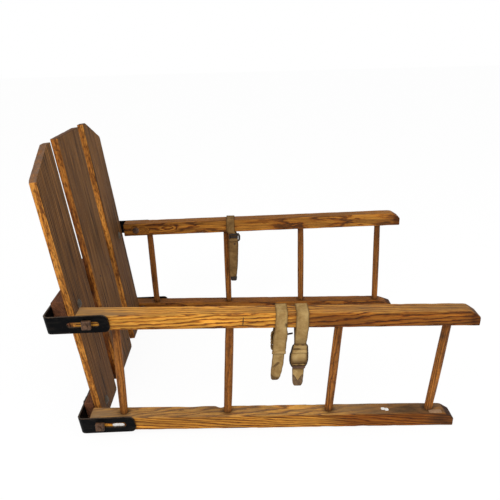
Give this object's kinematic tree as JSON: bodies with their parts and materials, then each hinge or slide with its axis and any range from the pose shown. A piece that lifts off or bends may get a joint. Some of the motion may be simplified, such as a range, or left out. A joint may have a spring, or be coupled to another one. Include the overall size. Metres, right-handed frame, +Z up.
{
  "type": "wooden sled seat with adjustable back",
  "caption": "Wooden sled seat: two spindle sides joined at the rear by a slatted back on slotted steel brackets, with webbing straps.",
  "frame": {"origin": "middle of the overall bounding box, on the floor the sled stands on", "axes": "+X towards the open front, along the rails; +Y to the sled's left; +Z up"},
  "size_m": [0.8188, 0.5508, 0.5664],
  "materials": {
    "oak": "worn clear varnish over oak, grey along the tops",
    "slat_wood": "weathered grey-brown faces, brighter edges",
    "batten_wood": "dark weathered wood",
    "black_paint": "black paint on flat steel bar, worn",
    "rusty_steel": "brown rust",
    "webbing": "faded khaki woven webbing",
    "buckle_metal": "dull tarnished metal"
  },
  "bodies": {
    "sides": {"buckle_left": "buckle_metal", "buckle_right_front": "buckle_metal", "buckle_right_rear": "buckle_metal", "lower_bolt_left": "rusty_steel", "lower_bolt_right": "rusty_steel", "lower_nut_left": "rusty_steel", "lower_nut_right": "rusty_steel", "lower_rail_left": "oak", "lower_rail_right": "oak", "spindle_left_1": "oak", "spindle_left_2": "oak", "spindle_left_3": "oak", "spindle_left_4": "oak", "spindle_right_1": "oak", "spindle_right_2": "oak", "spindle_right_3": "oak", "spindle_right_4": "oak", "strap_left": "webbing", "strap_right_front": "webbing", "strap_right_rear": "webbing", "strap_tip_left": "buckle_metal", "strap_tip_right_front": "buckle_metal", "upper_bolt_left": "rusty_steel", "upper_bolt_right": "rusty_steel", "upper_nut_left": "rusty_steel", "upper_nut_right": "rusty_steel", "upper_rail_left": "oak", "upper_rail_right": "oak"},
    "back": {"back_bolt_lower_left": "rusty_steel", "back_bolt_lower_right": "rusty_steel", "back_bolt_upper_left": "rusty_steel", "back_bolt_upper_right": "rusty_steel", "back_nut_lower_left": "rusty_steel", "back_nut_lower_right": "rusty_steel", "back_nut_upper_left": "rusty_steel", "back_nut_upper_right": "rusty_steel", "batten_lower": "batten_wood", "batten_upper": "batten_wood", "bracket_lower": "black_paint", "bracket_upper": "black_paint", "slat_left": "slat_wood", "slat_middle": "slat_wood", "slat_right": "slat_wood"}
  },
  "joints": [
    {"name": "back_tilt", "type": "hinge", "parent": "sides", "child": "back", "pos_m": [-0.32343, 0, 0.02963], "axis": [0, 1, 0], "range_deg": [-4.2, 7.8]}
  ]
}
